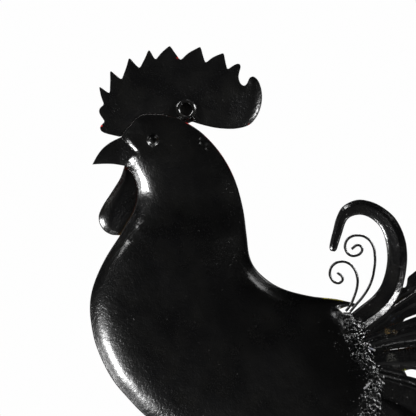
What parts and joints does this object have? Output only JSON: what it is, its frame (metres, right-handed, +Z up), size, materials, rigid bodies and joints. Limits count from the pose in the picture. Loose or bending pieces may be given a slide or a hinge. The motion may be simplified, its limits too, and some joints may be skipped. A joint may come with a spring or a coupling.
{
  "type": "wall hung metal rooster sculpture",
  "caption": "Wall rooster of cut, dished and welded sheet steel, with a toothed comb, a fan of stepped tail feathers and curled wires, hung by a ring on its back.",
  "frame": {"origin": "the point inside the head's ring, at the top of its hole, that bears on the nail", "axes": "+Z up, -Y towards the wall, +X from the beak to the tail"},
  "size_m": [0.4917, 0.0356, 0.5582],
  "materials": {
    "body": "satin black enamel on dished sheet steel, its front painted in warm colours",
    "comb": "satin black enamel on the back, red paint on the front",
    "beak": "satin black enamel on the back, yellow paint on the front",
    "tail": "satin black enamel on the back, painted feathers on the front",
    "wire": "satin black enamel on steel wire",
    "weld": "glossy black enamel over rough weld metal",
    "leg": "satin black enamel on the back, yellow paint on the front"
  },
  "bodies": {
    "root": {"body_shell": "body", "comb": "comb", "wattle": "comb", "beak": "beak", "sickle_feather": "tail", "tail_feather_1": "tail", "tail_feather_2": "tail", "tail_feather_3": "tail", "tail_feather_4": "tail", "tail_feather_5": "tail", "tail_feather_6": "tail", "upper_curl": "wire", "lower_curl": "wire", "hanging_ring": "wire", "tail_ring": "wire", "tail_weld": "weld", "front_leg": "leg", "rear_leg": "leg", "front_foot": "leg", "rear_foot": "leg"}
  },
  "joints": []
}
